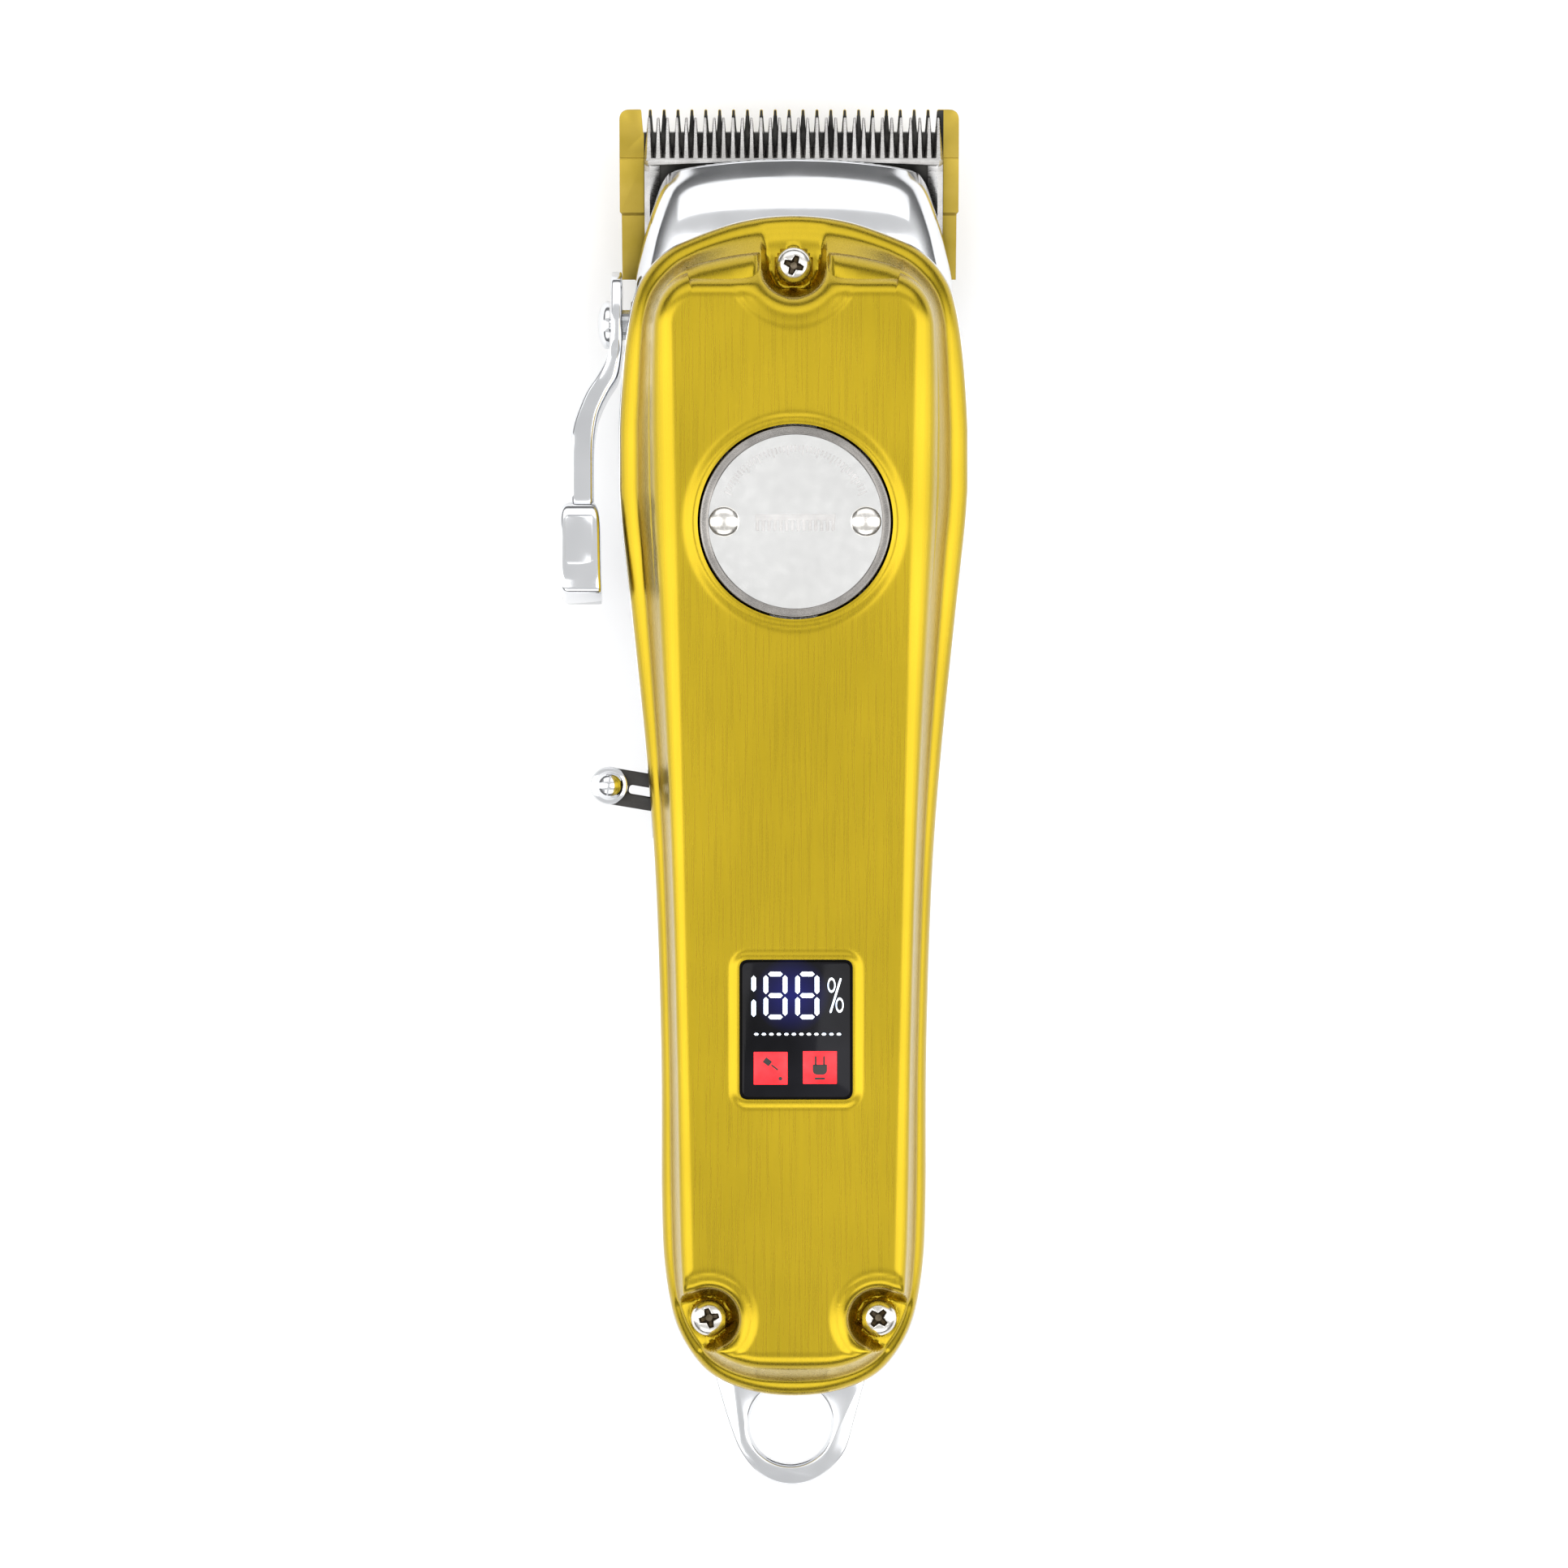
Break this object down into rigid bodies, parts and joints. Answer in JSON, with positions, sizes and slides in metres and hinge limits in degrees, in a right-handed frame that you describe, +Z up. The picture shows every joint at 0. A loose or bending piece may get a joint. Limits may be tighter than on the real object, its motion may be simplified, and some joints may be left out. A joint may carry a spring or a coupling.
{
  "type": "hair clipper",
  "caption": "Cordless metal hair clipper: gold cover over a chrome housing, toothed blade set at the nose, side taper lever, side switch, battery display and tail loop.",
  "frame": {"origin": "on the flat land of the underside, on the body's mid-plane, at mid-length of the whole clipper", "axes": "+Y to the blade teeth, +Z up out of the cover, +X to the right when the cover is seen from above with the blade away from the viewer"},
  "size_m": [0.0537, 0.1818, 0.0374],
  "materials": {
    "gold_cover": "satin gold plating, fine lengthwise brushing",
    "chrome": "bright chrome plating",
    "gold_blade": "satin gold coating on ground steel",
    "blade_steel": "ground bare steel",
    "screw_steel": "bright nickel-plated screws",
    "brushed_steel": "circular brushed ring",
    "polished_plate": "bright polished plate",
    "display_glass": "black glossy window",
    "black_plastic": "moulded black",
    "white_plastic": "moulded acetal",
    "nylon": "moulded nylon",
    "plain_steel": "zinc-plated steel",
    "bronze": "sintered bronze and copper",
    "ferrite": "dark ferrite and laminations",
    "board": "green circuit board",
    "cell_wrap": "blue heat-shrink wrap"
  },
  "bodies": {
    "housing": {"base_housing": "chrome", "top_cover": "gold_cover", "hanging_loop": "chrome", "front_cover_screw": "screw_steel", "left_rear_cover_screw": "screw_steel", "right_rear_cover_screw": "screw_steel", "badge_ring": "brushed_steel", "badge_plate": "polished_plate", "left_badge_screw": "screw_steel", "right_badge_screw": "screw_steel", "display_lens": "display_glass", "display_board": "board", "lever_bushing": "nylon", "motor_can": "plain_steel", "motor_end_cap": "black_plastic", "front_bearing": "bronze", "rear_bearing": "bronze", "left_magnet": "ferrite", "right_magnet": "ferrite", "left_brush": "bronze", "right_brush": "bronze", "motor_bracket": "plain_steel", "left_motor_screw": "screw_steel", "right_motor_screw": "screw_steel", "battery_cell": "cell_wrap", "battery_cradle": "black_plastic", "main_board": "board", "charging_socket": "black_plastic", "switch_pin": "plain_steel", "switch_body": "black_plastic"},
    "lever": {"taper_lever": "chrome", "lever_cam": "plain_steel", "lever_screw": "chrome"},
    "blade_slide": {"fixed_blade": "gold_blade", "blade_carriage": "nylon", "blade_spring": "plain_steel", "left_blade_screw": "screw_steel", "right_blade_screw": "screw_steel"},
    "cutter": {"moving_blade": "blade_steel", "cutter_follower": "white_plastic"},
    "rotor": {"rotor_core": "ferrite", "rotor_shaft": "plain_steel", "commutator": "bronze", "drive_eccentric": "plain_steel"},
    "switch": {"switch_arm": "black_plastic", "switch_knob": "chrome"}
  },
  "joints": [
    {"name": "lever_turn", "type": "hinge", "parent": "housing", "child": "lever", "pos_m": [-0.0225, 0.0623, 0.017], "axis": [1, 0, 0], "range_deg": [0, 30]},
    {"name": "blade_adjust", "type": "slide", "parent": "housing", "child": "blade_slide", "axis": [0, 0.9659, 0.2588], "range_m": [0, 0.0013]},
    {"name": "cutter_stroke", "type": "slide", "parent": "housing", "child": "cutter", "axis": [1, 0, 0], "range_m": [-0.00125, 0.00125]},
    {"name": "motor_spin", "type": "hinge", "parent": "housing", "child": "rotor", "pos_m": [0, 0.037, 0.017], "axis": [0, 1, 0], "continuous": true},
    {"name": "switch_toggle", "type": "hinge", "parent": "housing", "child": "switch", "pos_m": [-0.01, -0.0011, 0.0217], "axis": [0, 0, 1], "range_deg": [0, 19]}
  ],
  "couplings": [
    {"joint": "blade_adjust", "follows": "lever_turn", "m_per_rad": 0.0024}
  ]
}
